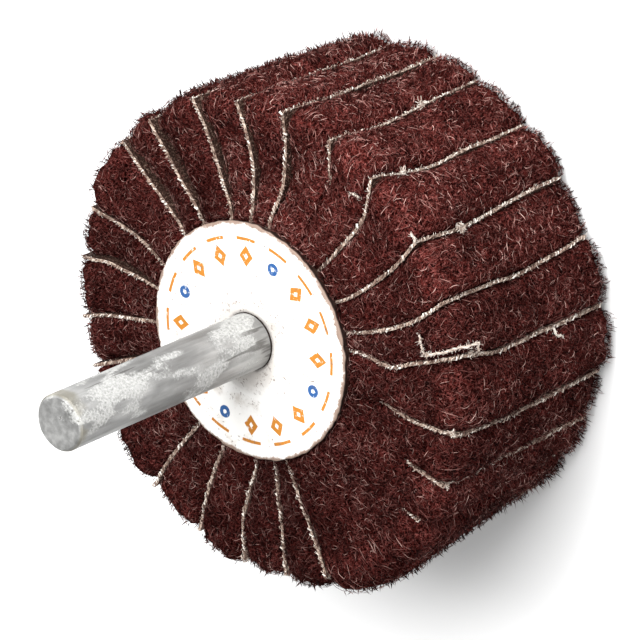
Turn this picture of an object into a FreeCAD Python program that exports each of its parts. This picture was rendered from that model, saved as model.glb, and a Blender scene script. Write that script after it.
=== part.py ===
import FreeCAD, Part
import math
import os
import Sketcher

Vector = FreeCAD.Vector

# Driving dimensions in millimetres and degrees: name, value, meaning
DIMENSIONS = [
    ("shank_diameter", 6.0, "diameter of the straight shank"),
    ("shank_reach", 28.6, "length of shank standing out of the label"),
    ("shank_chamfer", 0.3, "chamfer at the shank's free end"),
    ("waist_depth", 0.5, "how far the shank is turned down where the resin grips it"),
    ("head_height", 2.4, "height of the full head below the waist, at the rear face"),
    ("core_radius", 8.5, "radius of the resin column that the flaps stand on"),
    ("flange_radius", 12.5, "radius of the resin flanges over the flap shoulders"),
    ("flange_thickness", 0.8, "thickness of each resin flange"),
    ("lock_width", 1.2, "radial width of the core's locking rings, midway along the flap shoulders"),
    ("lock_depth", 1.6, "how far the locking rings reach into the flaps"),
    ("lock_clearance", 0.3, "room each side of the locking rings in the flap notches"),
    ("label_overhang", 0.26, "how far the card label stands out over the flange rim"),
    ("label_thickness", 0.4, "thickness of the card label"),
    ("label_clearance", 0.15, "gap between the label's hole and the shank"),
    ("flap_count", 24, "number of cloth flaps, and of web flaps between them"),
    ("flap_width", 25.0, "width of the flaps along the axis"),
    ("front_droop", 1.2, "how far the flaps fall back at their front corners"),
    ("rear_droop", 0.5, "how far the flaps reach back at their rear corners"),
    ("cloth_thickness", 0.5, "thickness of the abrasive cloth"),
    ("cloth_radius", 25.2, "radius at the outer edges of the cloth"),
    ("root_depth", 1.5, "depth of the core's slots for the cloth roots"),
    ("root_straight", 0.8, "straight cloth outside its slot before it bends"),
    ("leaf_inset", 0.8, "how far a flap's straight leaf starts inside the flange rim"),
    ("bend_radius", 2.0, "radius of the cloth's two bends under the flange"),
    ("web_inset", 0.1, "how far the web's outer corners lie inside the cloth edges"),
    ("web_crown", 1.1, "how far the web swells out between its corners"),
    ("web_corner", 2.0, "rounding of the web's outer corners"),
]

# How far each cloth flap leans from its even place at the rim and at its tip, in degrees
RIM_ANGLES = [-3, -4, 2, 1, 1, 2, 3, 5, 5, 8, 4, -2, 3, 0, 0, -1, -2, -3, -4, -2, -3, 0, -3, -5]
TIP_ANGLES = [4, -1, 5, 5, 5, 0, 2, 4, 3, 4, 1, -3, 7, 4, 2, -1, 4, 0, 1, 6, 5, 5, 4, 1]

# How near an edge must lie to the place where it is looked for
TOLERANCE = 1e-4

# A flap that turns by less than this, in radians, stays straight
SMALLEST_TURN = 0.01

# The most of the straight cloth outside its slot that a bend may take up
BEND_SHARE = 0.8

document = FreeCAD.newDocument("FlapWheel")
sheet = document.addObject("Spreadsheet::Sheet", "Dimensions")


def fill_sheet():
    """Write every driving dimension into its named cell."""
    for row, (name, value, meaning) in enumerate(DIMENSIONS, start=1):
        sheet.set("A%d" % row, meaning)
        sheet.set("B%d" % row, str(value))
        sheet.setAlias("B%d" % row, name)
    document.recompute()


def cell(name):
    """The expression that reads one cell of the sheet."""
    return "Dimensions." + name


def number(expression):
    """The present value of an expression of the sheet."""
    return float(sheet.evalExpression(expression))


# Places that several pieces share, as expressions of the sheet
SHANK_RADIUS = "Dimensions.shank_diameter / 2"
FLAP_REAR = "Dimensions.flange_thickness"
FLAP_FRONT = "(Dimensions.flange_thickness + Dimensions.flap_width)"
HUB_HEIGHT = "(2 * Dimensions.flange_thickness + Dimensions.flap_width)"
LABEL_FRONT = "(" + HUB_HEIGHT + " + Dimensions.label_thickness)"
SHANK_END = LABEL_FRONT + " + Dimensions.shank_reach"
WAIST_RADIUS = "(" + SHANK_RADIUS + " - Dimensions.waist_depth)"
LABEL_RADIUS = "(Dimensions.flange_radius + Dimensions.label_overhang)"
WEB_RADIUS = "(Dimensions.cloth_radius - Dimensions.web_inset)"
SHOULDER_MIDDLE = "(Dimensions.core_radius + Dimensions.flange_radius) / 2"
LOCK_INNER = "(" + SHOULDER_MIDDLE + " - Dimensions.lock_width / 2)"
LOCK_OUTER = "(" + SHOULDER_MIDDLE + " + Dimensions.lock_width / 2)"
LOCK_REAR = FLAP_REAR + " + Dimensions.lock_depth"
LOCK_FRONT = FLAP_FRONT + " - Dimensions.lock_depth"
ROOT_RADIUS = "(Dimensions.core_radius - Dimensions.root_depth)"
CORNER_REAR = FLAP_REAR + " - Dimensions.rear_droop"
CORNER_FRONT = FLAP_FRONT + " - Dimensions.front_droop"
CORNER_SPAN = "(Dimensions.flap_width - Dimensions.front_droop + Dimensions.rear_droop)"


def new_body(label):
    """A new body that carries one piece."""
    body = document.addObject("PartDesign::Body", label)
    body.Label = label
    return body


def origin_part(body, role):
    """One plane or axis of a body's own origin."""
    for feature in body.Origin.OriginFeatures:
        if feature.Role == role:
            return feature
    raise ValueError("no origin feature " + role)


def new_sketch(body, label, plane):
    """An empty sketch on one of the body's origin planes."""
    sketch = body.newObject("Sketcher::SketchObject", label)
    sketch.AttachmentSupport = [(origin_part(body, plane), "")]
    sketch.MapMode = "FlatFace"
    return sketch


def bind(sketch, kind, geometry, position, expression):
    """Hold one coordinate of a sketch point at an expression of the sheet."""
    if expression == "0":
        axis = -2 if kind == "DistanceX" else -1
        sketch.addConstraint(Sketcher.Constraint("PointOnObject", geometry, position, axis))
        return
    value = number(expression)
    constraint = Sketcher.Constraint(kind, -1, 1, geometry, position, value)
    index = sketch.addConstraint(constraint)
    sketch.setExpression("Constraints[%d]" % index, expression)


def draw_outline(sketch, corners, arc_after=None, arc_rise=None, arc_radius=None):
    """Draw a closed outline through corners given as pairs of expressions.

    The side after corner number arc_after is an arc that rises by arc_rise.
    """
    points = [Vector(number(x), number(y), 0) for x, y in corners]
    count = len(points)
    for index, start in enumerate(points):
        end = points[(index + 1) % count]
        side = Part.LineSegment(start, end)
        if index == arc_after:
            middle = (start + end) / 2 + Vector(number(arc_rise), 0, 0)
            side = Part.Arc(start, middle, end)
        sketch.addGeometry(side, False)
    for index in range(count):
        following = (index + 1) % count
        sketch.addConstraint(Sketcher.Constraint("Coincident", index, 2, following, 1))
    for index, (x, y) in enumerate(corners):
        bind(sketch, "DistanceX", index, 1, x)
        bind(sketch, "DistanceY", index, 1, y)
    if arc_after is not None:
        radius = Sketcher.Constraint("Radius", arc_after, number(arc_radius))
        index = sketch.addConstraint(radius)
        sketch.setExpression("Constraints[%d]" % index, arc_radius)


def revolve(body, sketch, label):
    """Turn a sketch of the XZ plane about the wheel's axis."""
    turned = body.newObject("PartDesign::Revolution", label)
    turned.Profile = sketch
    turned.ReferenceAxis = (sketch, ["V_Axis"])
    turned.Angle = 360
    sketch.Visibility = False
    document.recompute()
    return turned


def make_shank():
    """A steel rod, turned down inside the core above a full head, with a chamfered free end."""
    body = new_body("shank")
    corners = [
        ("0", "0"),
        (SHANK_RADIUS, "0"),
        (SHANK_RADIUS, cell("head_height")),
        (WAIST_RADIUS, cell("head_height")),
        (WAIST_RADIUS, LABEL_FRONT),
        (SHANK_RADIUS, LABEL_FRONT),
        (SHANK_RADIUS, SHANK_END),
        ("0", SHANK_END),
    ]
    sketch = new_sketch(body, "shank_profile", "XZ_Plane")
    draw_outline(sketch, corners)
    rod = revolve(body, sketch, "shank_rod")
    chamfer = body.newObject("PartDesign::Chamfer", "shank_end_chamfer")
    chamfer.Base = (rod, circles_at(rod, SHANK_RADIUS, [SHANK_END]))
    chamfer.setExpression("Size", cell("shank_chamfer"))
    rod.Visibility = False
    return body


def circles_at(feature, radius, levels):
    """Names of a feature's circular edges of one radius at the given heights."""
    names = []
    heights = [number(level) for level in levels]
    for index, edge in enumerate(feature.Shape.Edges, start=1):
        circle = edge.Curve
        if not isinstance(circle, Part.Circle) or abs(circle.Radius - number(radius)) > TOLERANCE:
            continue
        if min(abs(circle.Center.z - height) for height in heights) < TOLERANCE:
            names.append("Edge%d" % index)
    return names


def make_core():
    """The cast resin core: column, two flanges, locking rings and slots for the cloth."""
    body = new_body("resin_core")
    corners = [
        (SHANK_RADIUS, "0"),
        (cell("flange_radius"), "0"),
        (cell("flange_radius"), FLAP_REAR),
        (LOCK_OUTER, FLAP_REAR),
        (LOCK_OUTER, LOCK_REAR),
        (LOCK_INNER, LOCK_REAR),
        (LOCK_INNER, FLAP_REAR),
        (cell("core_radius"), FLAP_REAR),
        (cell("core_radius"), FLAP_FRONT),
        (LOCK_INNER, FLAP_FRONT),
        (LOCK_INNER, LOCK_FRONT),
        (LOCK_OUTER, LOCK_FRONT),
        (LOCK_OUTER, FLAP_FRONT),
        (cell("flange_radius"), FLAP_FRONT),
        (cell("flange_radius"), HUB_HEIGHT),
        (WAIST_RADIUS, HUB_HEIGHT),
        (WAIST_RADIUS, cell("head_height")),
        (SHANK_RADIUS, cell("head_height")),
    ]
    sketch = new_sketch(body, "core_profile", "XZ_Plane")
    draw_outline(sketch, corners)
    casting = revolve(body, sketch, "core_casting")
    casting.Visibility = False
    cut_root_slots(body, casting)
    return body


def cut_root_slots(body, casting):
    """Cut the slots that hold the cloth roots, one to each flap, all round the column."""
    half = "Dimensions.cloth_thickness / 2"
    mouth = "(Dimensions.core_radius + " + LOCK_INNER + ") / 2"
    slot_outline = new_sketch(body, "slot_outline", "XY_Plane")
    slot_outline.setExpression("AttachmentOffset.Base.z", FLAP_REAR)
    corners = [
        (ROOT_RADIUS, "-" + half),
        (mouth, "-" + half),
        (mouth, half),
        (ROOT_RADIUS, half),
    ]
    draw_outline(slot_outline, corners)
    slot = body.newObject("PartDesign::Pocket", "first_slot")
    slot.Profile = slot_outline
    slot.Reversed = True
    slot.setExpression("Length", cell("flap_width"))
    slot_outline.Visibility = False
    document.recompute()
    if slot.Shape.Volume >= casting.Shape.Volume:
        raise ValueError("the root slot cuts nothing")
    slots = body.newObject("PartDesign::PolarPattern", "root_slots")
    slots.Originals = [slot]
    slots.Axis = (origin_part(body, "Z_Axis"), [""])
    slots.Angle = 360
    slots.setExpression("Occurrences", cell("flap_count"))
    slot.Visibility = False
    body.Tip = slots
    document.recompute()


def make_label():
    """The round card label on the core's front face, with its hole for the shank."""
    body = new_body("label_disc")
    sketch = new_sketch(body, "label_outline", "XY_Plane")
    sketch.setExpression("AttachmentOffset.Base.z", HUB_HEIGHT)
    hole_radius = SHANK_RADIUS + " + Dimensions.label_clearance"
    for geometry, radius in enumerate([LABEL_RADIUS, hole_radius]):
        circle = Part.Circle(Vector(0, 0, 0), Vector(0, 0, 1), number(radius))
        sketch.addGeometry(circle, False)
        sketch.addConstraint(Sketcher.Constraint("Coincident", geometry, 3, -1, 1))
        constraint = Sketcher.Constraint("Radius", geometry, number(radius))
        index = sketch.addConstraint(constraint)
        sketch.setExpression("Constraints[%d]" % index, radius)
    card = body.newObject("PartDesign::Pad", "label_card")
    card.Profile = sketch
    card.setExpression("Length", cell("label_thickness"))
    sketch.Visibility = False
    return body


def make_strip(label, outer, crown=None):
    """The flat strip that a flap is cut from: notched at its root, falling back outwards.

    With a crown, its outer edge swells between rounded corners.
    """
    body = new_body(label)
    inner_notch = LOCK_INNER + " - Dimensions.lock_clearance"
    outer_notch = LOCK_OUTER + " + Dimensions.lock_clearance"
    corners = [
        (SHANK_RADIUS, FLAP_REAR),
        (inner_notch, FLAP_REAR),
        (inner_notch, LOCK_REAR),
        (outer_notch, LOCK_REAR),
        (outer_notch, FLAP_REAR),
        (cell("flange_radius"), FLAP_REAR),
        (outer, CORNER_REAR),
        (outer, CORNER_FRONT),
        (cell("flange_radius"), FLAP_FRONT),
        (outer_notch, FLAP_FRONT),
        (outer_notch, LOCK_FRONT),
        (inner_notch, LOCK_FRONT),
        (inner_notch, FLAP_FRONT),
        (SHANK_RADIUS, FLAP_FRONT),
    ]
    sketch = new_sketch(body, label + "_profile", "XZ_Plane")
    if crown is None:
        draw_outline(sketch, corners)
    else:
        outer_side = corners.index((outer, CORNER_REAR))
        arc_radius = "((%s / 2) ^ 2 + %s ^ 2) / (2 * %s)" % (CORNER_SPAN, crown, crown)
        draw_outline(sketch, corners, outer_side, crown, arc_radius)
    strip = body.newObject("PartDesign::Pad", label + "_pad")
    strip.Profile = sketch
    strip.Midplane = True
    strip.setExpression("Length", outer)
    sketch.Visibility = False
    document.recompute()
    if crown is not None:
        rounding = body.newObject("PartDesign::Fillet", label + "_rounding")
        rounding.Base = (strip, cross_edges(strip, outer, [CORNER_REAR, CORNER_FRONT]))
        rounding.setExpression("Radius", cell("web_corner"))
        strip.Visibility = False
    return body


def cross_edges(feature, place, levels):
    """Names of a strip's edges that run across it at one X and at the given heights."""
    names = []
    for index, edge in enumerate(feature.Shape.Edges, start=1):
        box = edge.BoundBox
        runs_across = max(box.XLength, box.ZLength) < TOLERANCE
        if not runs_across or abs(box.XMin - number(place)) > TOLERANCE:
            continue
        if min(abs(box.ZMin - number(level)) for level in levels) < TOLERANCE:
            names.append("Edge%d" % index)
    return names


def flap_point(radius, angle):
    """A point of the plan at a radius and an angle in degrees."""
    turn = math.radians(angle)
    return Vector(radius * math.cos(turn), radius * math.sin(turn), 0)


def lean_of(leans, flap):
    """One flap's entry in a list of leans, which starts again after the last flap."""
    return leans[flap % int(number(cell("flap_count"))) % len(leans)]


def turn_at(points, index):
    """The angle in radians by which a path turns at one of its points, positive to the left."""
    run = points[index] - points[index - 1]
    following = points[index + 1] - points[index]
    return math.atan2(run.cross(following).z, run.dot(following))


def left_of(run):
    """The direction square to a run, on its left."""
    return Vector(-run.y, run.x, 0).normalize()


def rounded_path(points, widest_radius, longest_cut, offset):
    """Edges parallel to a path of straight runs with rounded corners.

    A corner's radius is limited where it would cut back more of a run than longest_cut.
    """
    inner = [i for i in range(1, len(points) - 1) if abs(turn_at(points, i)) > SMALLEST_TURN]
    points = [points[0]] + [points[i] for i in inner] + [points[-1]]
    edges = []
    start = points[0]
    for index in range(1, len(points) - 1):
        corner = points[index]
        run = (corner - points[index - 1]).normalize()
        following = (points[index + 1] - corner).normalize()
        turn = turn_at(points, index)
        bend_side = math.copysign(1, turn)
        cut_back = min(widest_radius * math.tan(abs(turn) / 2), longest_cut)
        radius = cut_back / math.tan(abs(turn) / 2)
        centre = corner - run * cut_back + left_of(run) * radius * bend_side
        outward = (corner - centre).normalize()
        arc_start = corner - run * cut_back + left_of(run) * offset
        arc_end = corner + following * cut_back + left_of(following) * offset
        arc_middle = centre + outward * (radius - bend_side * offset)
        edges.append(Part.LineSegment(start + left_of(run) * offset, arc_start))
        edges.append(Part.Arc(arc_start, arc_middle, arc_end))
        start = corner + following * cut_back
    last_side = left_of(points[-1] - points[-2])
    edges.append(Part.LineSegment(start + last_side * offset, points[-1] + last_side * offset))
    return [edge.toShape() for edge in edges]


def cloth_side(flap, offset):
    """One face of a cloth flap, from its root in the slot, round two bends, to past its tip."""
    root = Vector(number(ROOT_RADIUS), 0, 0)
    bend = Vector(number("Dimensions.core_radius + Dimensions.root_straight"), 0, 0)
    rim = flap_point(number(cell("flange_radius")), lean_of(RIM_ANGLES, flap))
    tip = flap_point(number(cell("cloth_radius")), lean_of(TIP_ANGLES, flap))
    leaf = (tip - rim).normalize()
    neck = rim - leaf * number(cell("leaf_inset"))
    end = tip + leaf * number("2 * Dimensions.web_crown")
    longest_cut = BEND_SHARE * number(cell("root_straight"))
    path = [root, bend, neck, end]
    return rounded_path(path, number(cell("bend_radius")), longest_cut, offset)


def closed_face(low_side, high_side, root_edges):
    """The face between two sides that run from root to tip, closed by its root edges."""
    tip_line = Part.LineSegment(low_side[-1].Vertexes[-1].Point, high_side[-1].Vertexes[-1].Point)
    edges = low_side + [tip_line.toShape()] + high_side + root_edges
    return Part.Face(Part.Wire(Part.sortEdges(edges)[0]))


def turned_side(side, angle):
    """Copies of a side's edges, turned about the wheel's axis."""
    turned = []
    for edge in side:
        copy = edge.copy()
        copy.rotate(Vector(0, 0, 0), Vector(0, 0, 1), angle)
        turned.append(copy)
    return turned


def make_flap(label, face, strip, angle):
    """Raise a flap's plan face, cut it from its strip and turn it to its place."""
    plan = document.addObject("Part::Feature", label + "_plan")
    plan.Shape = face
    blade = document.addObject("Part::Extrusion", label + "_blade")
    blade.Base = plan
    blade.DirMode = "Custom"
    blade.Dir = Vector(0, 0, 1)
    blade.Solid = True
    blade.setExpression("LengthFwd", HUB_HEIGHT)
    piece = document.addObject("Part::Common", label)
    piece.Base = blade
    piece.Tool = strip
    piece.Label = label
    piece.setExpression("Placement.Rotation.Angle", angle)
    return piece


def cloth_face(flap):
    """Plan of a cloth flap: a sheet that leaves its slot straight and then leans."""
    half = number(cell("cloth_thickness")) / 2
    low = cloth_side(flap, -half)
    high = cloth_side(flap, half)
    root_line = Part.LineSegment(low[0].Vertexes[0].Point, high[0].Vertexes[0].Point)
    return closed_face(low, high, [root_line.toShape()])


def web_face(flap, pitch, middle):
    """Plan of the web between a cloth flap and the next, turned so its middle is along X."""
    half = number(cell("cloth_thickness")) / 2
    core_radius = number(cell("core_radius"))
    seat = math.sqrt(core_radius ** 2 - half ** 2)
    low = trimmed_root(cloth_side(flap, half), seat)
    following = trimmed_root(cloth_side(flap + 1, -half), seat)
    high = turned_side(following, pitch)
    start = low[0].Vertexes[0].Point
    finish = high[0].Vertexes[0].Point
    halfway = flap_point(core_radius, pitch / 2)
    root_arc = Part.Arc(start, halfway, finish)
    face = closed_face(low, high, [root_arc.toShape()])
    face.rotate(Vector(0, 0, 0), Vector(0, 0, 1), -middle)
    return face


def trimmed_root(side, seat):
    """A side whose straight root begins at the core's surface and not in its slot."""
    tail = side[0].Vertexes[-1].Point
    start = Vector(seat, tail.y, 0)
    return [Part.LineSegment(start, tail).toShape()] + side[1:]


def make_flaps():
    """Cloth flaps in their slots, with a leaf of web between each two."""
    count = int(number(cell("flap_count")))
    pitch = 360 / count
    cloth_strip = make_strip("cloth_strip", cell("cloth_radius"))
    web_strip = make_strip("web_strip", WEB_RADIUS, cell("web_crown"))
    pieces = []
    for flap in range(count):
        place = "%d * 360 / Dimensions.flap_count" % flap
        label = "cloth_flap_%02d" % (flap + 1)
        pieces.append(make_flap(label, cloth_face(flap), cloth_strip, place))
        lean = (lean_of(TIP_ANGLES, flap) + lean_of(TIP_ANGLES, flap + 1)) / 2
        middle = pitch / 2 + lean
        place = "%g * 360 / Dimensions.flap_count + %g" % (flap + 0.5, lean)
        label = "nonwoven_flap_%02d" % (flap + 1)
        pieces.append(make_flap(label, web_face(flap, pitch, middle), web_strip, place))
    return pieces


def check_document():
    """Stop if any object of the document failed to build."""
    for item in document.Objects:
        if "Invalid" in item.State or "Error" in item.State:
            raise RuntimeError("%s is %s" % (item.Label, item.State))


def write_parts(pieces):
    """Check each piece's shape, then write each to its own file."""
    for piece in pieces:
        if piece.Shape.isNull() or not piece.Shape.isValid():
            raise RuntimeError(piece.Label + " has no valid shape")
        if len(piece.Shape.Solids) != 1:
            raise RuntimeError(piece.Label + " is not one solid")
    os.makedirs("parts", exist_ok=True)
    for piece in pieces:
        piece.Shape.exportStep("parts/%s.step" % piece.Label)


fill_sheet()
pieces = [make_shank(), make_core(), make_label()] + make_flaps()
document.recompute()
check_document()
write_parts(pieces)
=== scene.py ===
import math

import bmesh
import bpy
import numpy as np
from mathutils import Matrix, Vector, noise


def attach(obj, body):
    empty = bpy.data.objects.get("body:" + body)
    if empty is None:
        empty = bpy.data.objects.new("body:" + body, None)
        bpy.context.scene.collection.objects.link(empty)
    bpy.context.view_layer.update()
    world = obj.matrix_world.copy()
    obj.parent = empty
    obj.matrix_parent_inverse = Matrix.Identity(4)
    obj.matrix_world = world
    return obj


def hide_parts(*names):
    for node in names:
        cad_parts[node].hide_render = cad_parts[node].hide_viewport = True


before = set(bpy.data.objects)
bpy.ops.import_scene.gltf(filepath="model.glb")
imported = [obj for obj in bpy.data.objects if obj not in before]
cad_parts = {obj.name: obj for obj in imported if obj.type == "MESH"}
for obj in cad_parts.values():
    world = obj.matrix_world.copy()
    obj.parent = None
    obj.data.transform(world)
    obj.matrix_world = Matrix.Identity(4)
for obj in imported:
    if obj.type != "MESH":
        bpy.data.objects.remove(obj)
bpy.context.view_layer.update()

# Lengths below are in millimetres, and meshes are scaled to metres as they are made
MILLIMETRE = 0.001

# Sizes shared with the solid model
SHANK_TOP = 55.6
CORE_RADIUS = 8.5
FLANGE_RADIUS = 12.5
NOTCH_RADIUS = 11.4
NOTCH_DEPTH = 1.9
LABEL_RADIUS = 12.76
LABEL_REAR = 26.6
LABEL_FRONT = 27.0
FLAP_REAR = 0.8
FLAP_FRONT = 25.8
REAR_CORNER = 0.3
FRONT_CORNER = 24.6
CLOTH_RADIUS = 25.2
WEB_CORNER = 2.0
FLAP_COUNT = 24
PITCH = 360 / FLAP_COUNT

# Sizes that the visual pieces have in place of the solid ones
LABEL_HOLE = 3.03
CLOTH_THICKNESS = 0.36
REAR_ROUNDING = 1.2

# Least height of the leaves, the threads and the fibres' middles
LEAST_HEIGHT = 0.05

# The fan of flaps sits a little to one side of the core: how far, and towards which angle
FAN_SHIFT = 0.8
FAN_SHIFT_ANGLE = 159

# Lean of each cloth flap from its even place, in degrees, at these radii, read from the photo
LEAN_RADII = [13, 17, 21, 25]
CLOTH_LEANS = [
    (-2.5, 0, 2, 3.5),
    (-3.5, -3, -1.5, -1),
    (3, 2, 3, 4.5),
    (1, 1.5, 2.5, 5),
    (1.5, 2.5, 3, 4.5),
    (2, 1.5, 1, 0.5),
    (3, 3, 2.5, 2),
    (5, 4, 3, 3.5),
    (5.5, 4, 3, 3),
    (9, 5.5, 3, 4),
    (5, 3, 2, 1),
    (-2, -2.5, -2.5, -3),
    (3, 4, 6, 7.5),
    (0, 0, 1.5, 3.5),
    (0, 0, 0.5, 1.5),
    (-1.5, -1, -2, -1),
    (3, -1.5, 1, 3),
    (-3.5, -4, -2.5, 0.5),
    (-4, -3.5, -1.5, 1.5),
    (-2, -1.5, 0, 6),
    (-3, -2, -0.5, 5),
    (1.5, -1, 1, 5),
    (-3, -3.5, -1, 3),
    (-6, -3.5, -2, 0.5),
]

# Further lean of the cloth flaps' outer edges, in degrees, at these heights, read from the photo
TWIST_HEIGHTS = [1, 6, 12, 18, 24.6]
CLOTH_TWISTS = {
    12: (-1, -1, -1, -1.5, -1.5),
    13: (0.5, 0.5, 0, 0, -0.3),
    14: (0, -0.4, -0.6, -0.8, -0.9),
    15: (0.2, -0.1, -0.7, -0.8, 0.4),
    16: (-2.7, -2.7, -2.6, -2.5, 0),
    17: (1.6, 0.6, -0.2, 0.4, 0.6),
    18: (0.4, 0.4, -0.5, -1.2, -0.2),
    19: (-3.6, -3.8, -3.9, -4.2, -1.2),
    20: (-0.9, -1.0, -2.0, -2.7, -0.8),
    21: (-3.6, -3.8, -3.5, -3, -1.5),
    22: (-2.5, -2.8, -1.6, -1, 0),
}

# How far the outer edges of some cloth flaps are worn back; below zero they stand out further
CLOTH_WEAR = {0: -0.3, 1: -0.5, 13: 0.6, 14: 0.15, 21: -0.25, 22: -0.1, 23: -0.6}

# Cloth flaps whose front edge the web closes over, and the radius beyond which it is free
VEILED = {12: 28.5, 13: 24.2, 14: 22.4, 15: 17.8, 20: 22.2}

# Open gaps in front of some cloth flaps, where their coated side shows, by leaf
WIDE_GAPS = {0: 2.4, 2: 1.8, 4: 1.2, 20: 1.3, 21: 1.5, 22: 2.2, 23: 2.4}

# How the web's fullness at the rim changes with height: it is worn back towards the rear
FULLNESS_HEIGHTS = [0, 6, 13, 20, 24]
FULLNESS = [-0.7, -0.7, 0, 1.2, 1.0]

# How much further than even some leaves stand out at the rim, by leaf: rear, middle and front
REACHES = {
    0: (0, 0, 0.7),
    1: (0, 0, -0.2),
    2: (0, 0, 0.1),
    3: (0, 0, -0.1),
    4: (0, 0, -0.3),
    5: (0, 0, -0.5),
    6: (0, 0, -0.1),
    7: (0, 0, -0.2),
    8: (0, 0, 0.5),
    10: (0, 0.3, 0.5),
    11: (0, 0.8, 1.0),
    12: (0.2, 0.5, 1.1),
    13: (0.2, 0.2, 0.4),
    14: (-0.2, 0, 0),
    15: (0.8, 0, 0),
    16: (0.6, 0, 0),
    17: (-0.4, 0, 0),
    18: (0.5, 0, 0),
    19: (0.4, 0, 0),
    20: (0.9, 0, 0),
    21: (0.8, 0, 0),
    22: (1.1, 1.3, 0.1),
    23: (0.3, 0.4, 0.1),
}

# Painted light and shade on each leaf of web: its brightness beside an even one, read from the photo
# The leaves at the top are painted paler and those at the bottom darker, as the light falls on them
LEAF_PAINTED_LIGHT = [
    0.95, 1.0, 1.0, 1.0, 1.0, 1.0, 0.95, 0.9, 0.85, 0.75, 0.65, 0.7,
    0.95, 1.05, 0.95, 0.88, 0.95, 1.15, 1.3, 1.45, 1.5, 1.4, 1.2, 1.0,
]

# How far the solid part of the web lies below the loose fibres at its surface
WEB_DEPTH = 0.25

# Place of the rim's rear edge along the outline, where the web frays open
REAR_EDGE = 0.735

# Layers of loose fibres on each leaf. Each has its count, the points along a fibre, the greatest
# length, the greatest height of its arch, how far its ends stand out, its radius, its range of places
# against the skin, the stretch of the outline that it grows on, and its range of shades.
FIBRE_LAYERS = [
    dict(count=450, points=3, length=1.0, arch=0.10, loft=0.10, radius=0.042,
         depth=(-0.40, 0.00), stretch=(0.01, 0.99), shade=(0.0, 0.5)),
    dict(count=750, points=3, length=0.45, arch=0.05, loft=0.85, radius=0.055,
         depth=(-0.60, -0.15), stretch=(0.15, 0.85), shade=(0.0, 0.65)),
    dict(count=300, points=3, length=0.45, arch=0.05, loft=1.10, radius=0.080,
         depth=(-0.70, -0.20), stretch=(0.20, 0.80), shade=(-0.05, 0.5)),
    dict(count=350, points=3, length=0.5, arch=0.05, loft=0.80, radius=0.040,
         depth=(-0.30, 0.00), stretch=(0.01, 0.99), shade=(0.1, 0.8)),
    dict(count=1050, points=4, length=1.6, arch=0.15, loft=0.15, radius=0.029,
         depth=(-0.35, 0.02), stretch=(0.01, 0.99), shade=(0.15, 1.15)),
    dict(count=100, points=3, length=0.5, arch=0.05, loft=1.35, radius=0.050,
         depth=(-0.50, -0.10), stretch=(0.66, 0.80), shade=(0.0, 0.9)),
    dict(count=330, points=5, length=2.2, arch=0.20, loft=0.20, radius=0.025,
         depth=(-0.15, 0.10), stretch=(0.01, 0.99), shade=(0.15, 0.8)),
]

# Knots in the frayed edges, by flap: radius, angle in degrees, height and size
KNOTS = {
    15: [(25.6, 210.3, 23.7, 0.7)],
    16: [(25.6, 225.6, 25.0, 0.6)],
    17: [(25.5, 243.2, 22.4, 0.7), (22.6, 244.2, 25.4, 0.5)],
    19: [(25.6, 270.4, 18.4, 0.8)],
    20: [(25.6, 286.9, 21.3, 0.9)],
    21: [(25.6, 302.0, 11.3, 0.7)],
}

# Loose yarns, by flap: points of each, as radius, angle in degrees and height
LOOSE_YARNS = {
    17: [
        [(21.9, 249.7, 25.3), (22.1, 246.5, 25.6), (22.2, 244.0, 25.4)],
        [(22.4, 244.0, 25.6), (24.2, 245.1, 25.6), (26.1, 245.5, 23.4), (26.5, 245.3, 22.0),
         (26.2, 243.2, 21.8)],
        [(25.6, 240.6, 9.2), (25.9, 238.9, 9.1), (25.7, 236.7, 7.3)],
    ],
    19: [[(25.4, 273.9, 25.0), (25.6, 272.4, 25.1), (25.2, 271.1, 24.9)]],
    20: [[(22.2, 292.0, 25.3), (22.6, 290.0, 25.6), (22.9, 288.4, 25.3)]],
}

# The label's printed ring: how many marks, the ring's radius and the room for each mark
PRINT_COUNT = 16
PRINT_RADIUS = 9.2
PRINT_PITCH = 2 * math.pi * PRINT_RADIUS / PRINT_COUNT

# The photo's view: tilt of the shank out of the picture, roll of the picture, and framing
VIEW_TILT = math.radians(45.19)
VIEW_ROLL = math.radians(23.51)
VIEW_TURN = math.radians(-4)
VIEW_DISTANCE = 600
VIEW_LENS = 330.7
LABEL_IN_VIEW = (-7.3, -2.17)


def even_angle(flap):
    """Angle in degrees of a flap's slot in the core."""
    return flap * PITCH


def free_share(radius):
    """Share of the way from the flange's rim to the flaps' outer edge, at a radius."""
    return np.clip((radius - FLANGE_RADIUS) / (CLOTH_RADIUS - FLANGE_RADIUS), 0, 1)


def smooth_through(places, values, x):
    """A smooth curve through given values, read at x; it is level beyond its ends."""
    places = np.asarray(places, float)
    values = np.asarray(values, float)
    slopes = np.gradient(values, places)
    slopes[0] = slopes[-1] = 0
    x = np.clip(x, places[0], places[-1])
    index = np.clip(np.searchsorted(places, x) - 1, 0, len(places) - 2)
    width = places[index + 1] - places[index]
    t = (x - places[index]) / width
    start = values[index] * (1 + 2 * t) * (1 - t) ** 2 + slopes[index] * width * t * (1 - t) ** 2
    end = values[index + 1] * t ** 2 * (3 - 2 * t) + slopes[index + 1] * width * t ** 2 * (t - 1)
    return start + end


def cloth_angle(flap, radius, height):
    """Angle in radians of a cloth flap's middle at a radius and a height."""
    turns, flap = divmod(flap, FLAP_COUNT)
    places = [CORE_RADIUS, CORE_RADIUS + 0.8] + LEAN_RADII + [28]
    tip = CLOTH_LEANS[flap][-1] + 0.5 * (CLOTH_LEANS[flap][-1] - CLOTH_LEANS[flap][-2])
    leans = [0, 0] + list(CLOTH_LEANS[flap]) + [tip]
    lean = smooth_through(places, leans, radius)
    plain_twist = 1.2 * np.sin(np.arange(len(TWIST_HEIGHTS)) + 2.1 * flap)
    twist = smooth_through(TWIST_HEIGHTS, CLOTH_TWISTS.get(flap, plain_twist), height)
    return np.radians(even_angle(flap) + lean + twist * free_share(radius) ** 2 + 360 * turns)


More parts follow.
